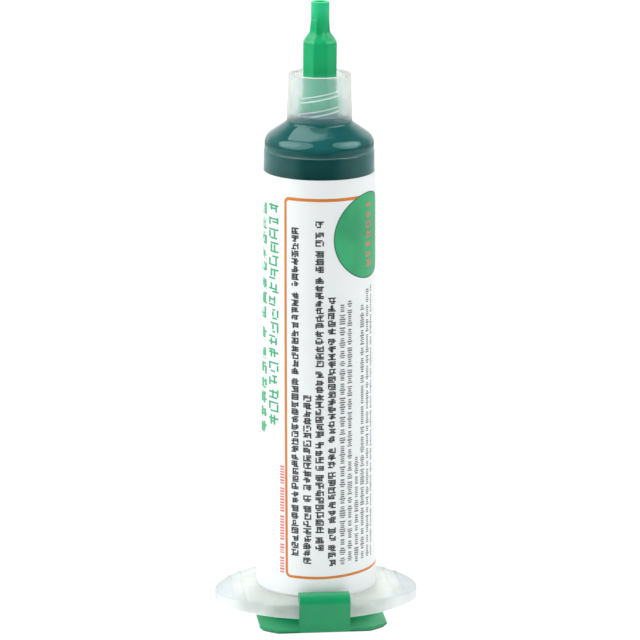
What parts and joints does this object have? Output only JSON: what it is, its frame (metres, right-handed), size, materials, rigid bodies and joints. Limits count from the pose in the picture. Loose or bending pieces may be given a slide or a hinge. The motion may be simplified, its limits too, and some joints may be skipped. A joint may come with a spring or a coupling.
{
  "type": "solder mask syringe",
  "caption": "Filled dispensing syringe with a threaded tip collar, twist-off tip cap, wiper piston, finger flange and clip-on end cap.",
  "frame": {"origin": "middle of the underside of the end cap, on the surface that the syringe stands on", "axes": "+Z along the tube towards the tip cap, X along the two ears of the finger flange, Y through the two clips of the end cap"},
  "size_m": [0.0336, 0.0262, 0.102],
  "materials": {
    "clear_body": "clear, slightly milky moulded plastic",
    "label_film": "smooth white film with coloured print",
    "fill": "dark green resin paste",
    "piston_plastic": "natural white, soft sheen",
    "green_cap": "green moulded plastic, soft gloss"
  },
  "bodies": {
    "barrel": {"barrel": "clear_body", "label": "label_film", "solder_mask": "fill"},
    "piston": {"piston": "piston_plastic"},
    "tip_cap": {"tip_cap": "green_cap"},
    "end_cap": {"end_cap": "green_cap"}
  },
  "joints": [
    {"name": "piston_slide", "type": "slide", "parent": "barrel", "child": "piston", "axis": [0, 0, 1], "range_m": [0, 0.0508], "deforming": ["solder_mask"]},
    {"name": "tip_cap_lift", "type": "slide", "parent": "barrel", "child": "tip_cap", "axis": [0, 0, 1], "range_m": [0, 0.012]},
    {"name": "end_cap_slide", "type": "slide", "parent": "barrel", "child": "end_cap", "axis": [1, 0, 0], "range_m": [-0.022, 0.022]}
  ]
}
